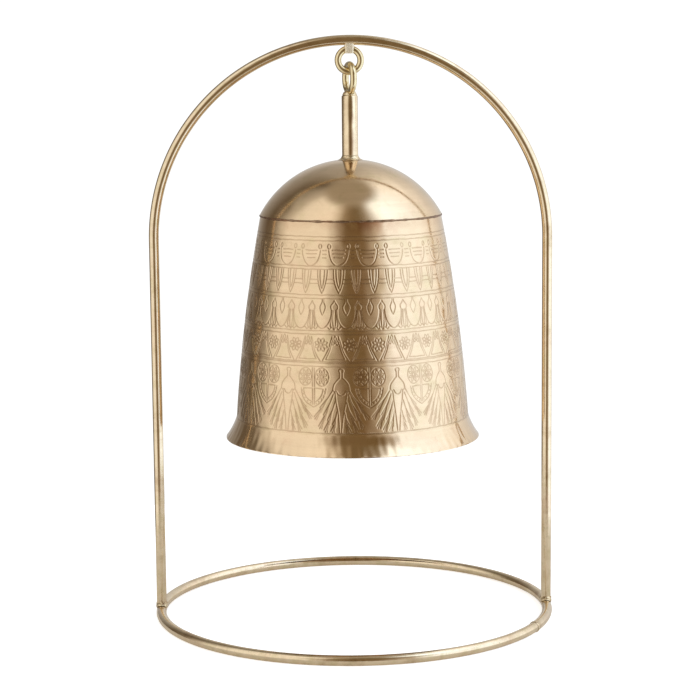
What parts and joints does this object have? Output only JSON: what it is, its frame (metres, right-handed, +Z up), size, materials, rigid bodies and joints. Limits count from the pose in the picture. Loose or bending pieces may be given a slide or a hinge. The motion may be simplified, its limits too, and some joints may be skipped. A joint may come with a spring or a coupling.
{
  "type": "temple bell",
  "caption": "Engraved brass bell with a domed cap and flared lip, hung by wire rings under a rod arch on a round base, with a loose clapper inside.",
  "frame": {"origin": "on the table under the middle of the bell, at the centre of the base ring's underside", "axes": "+Z up through the bell's stem, X across the arch from its left leg to its right leg, Y fore and aft"},
  "size_m": [0.2384, 0.2372, 0.3432],
  "materials": {
    "rod_brass": "satin drawn rod, hand rubbed and lightly aged",
    "ring_brass": "satin drawn wire, polished where the rings rub",
    "bell_brass": "spun, satin brushed and engraved, polished lip",
    "pale_braze": "bright lumpy braze, pale and a little pitted",
    "dark_seam": "brazed seam, copper brown heat stain",
    "inner_brass": "dull unpolished brass, darkened inside the bell"
  },
  "bodies": {
    "stand": {"base_ring": "rod_brass", "base_ring_braze": "pale_braze", "arch_rod": "rod_brass", "foot_braze_left": "pale_braze", "foot_braze_right": "pale_braze", "hanger_ring": "ring_brass", "hanger_ring_braze": "pale_braze"},
    "bell": {"link_ring": "ring_brass", "link_ring_braze": "pale_braze", "stem": "rod_brass", "stem_braze": "pale_braze", "bell_dome": "bell_brass", "bell_body": "bell_brass", "shoulder_braze": "dark_seam", "crown_washer": "inner_brass", "clapper_eye": "inner_brass", "clapper_eye_braze": "pale_braze"},
    "clapper_link": {"clapper_link": "inner_brass"},
    "clapper": {"clapper_rod": "inner_brass", "clapper_ball": "inner_brass"}
  },
  "joints": [
    {"name": "bell_swing", "type": "hinge", "parent": "stand", "child": "bell", "pos_m": [0, 0, 0.3219], "axis": [1, 0, 0], "range_deg": [-60, 60]},
    {"name": "clapper_link_swing", "type": "hinge", "parent": "bell", "child": "clapper_link", "pos_m": [0, 0, 0.256], "axis": [1, 0, 0], "range_deg": [-23, 23]},
    {"name": "clapper_swing", "type": "hinge", "parent": "clapper_link", "child": "clapper", "pos_m": [0, 0, 0.24765], "axis": [0, 1, 0], "range_deg": [-8, 8]}
  ]
}
